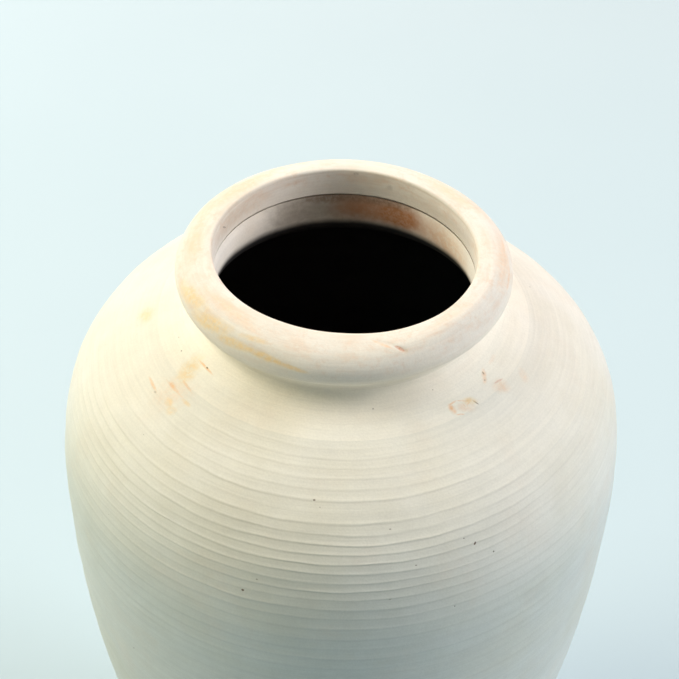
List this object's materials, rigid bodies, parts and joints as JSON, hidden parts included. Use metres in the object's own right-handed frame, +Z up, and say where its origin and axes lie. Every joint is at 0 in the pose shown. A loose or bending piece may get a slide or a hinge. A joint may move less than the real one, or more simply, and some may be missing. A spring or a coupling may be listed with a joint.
{
  "type": "vase",
  "caption": "High-shouldered stoneware vase with a rolled rim, short neck, ringed body and flat foot ring; cream slip over tan clay.",
  "frame": {"origin": "on the vase's axis, at the bearing face of the foot ring", "axes": "+Z up along the vase's axis, towards the mouth; the body is round, so +X and +Y are interchangeable"},
  "size_m": [0.1422, 0.1422, 0.242],
  "materials": {
    "bare_clay": "unglazed, matte",
    "slipped_body": "cream slip, matte, throwing rings",
    "slipped_neck": "thin cream slip, matte",
    "slipped_rim": "cream slip rubbed through to the clay, matte"
  },
  "bodies": {
    "root": {"foot_ring": "bare_clay", "base_disc": "bare_clay", "lower_wall": "slipped_body", "shoulder_wall": "slipped_body", "neck_collar": "slipped_neck", "rim_ring": "slipped_rim"}
  },
  "joints": []
}
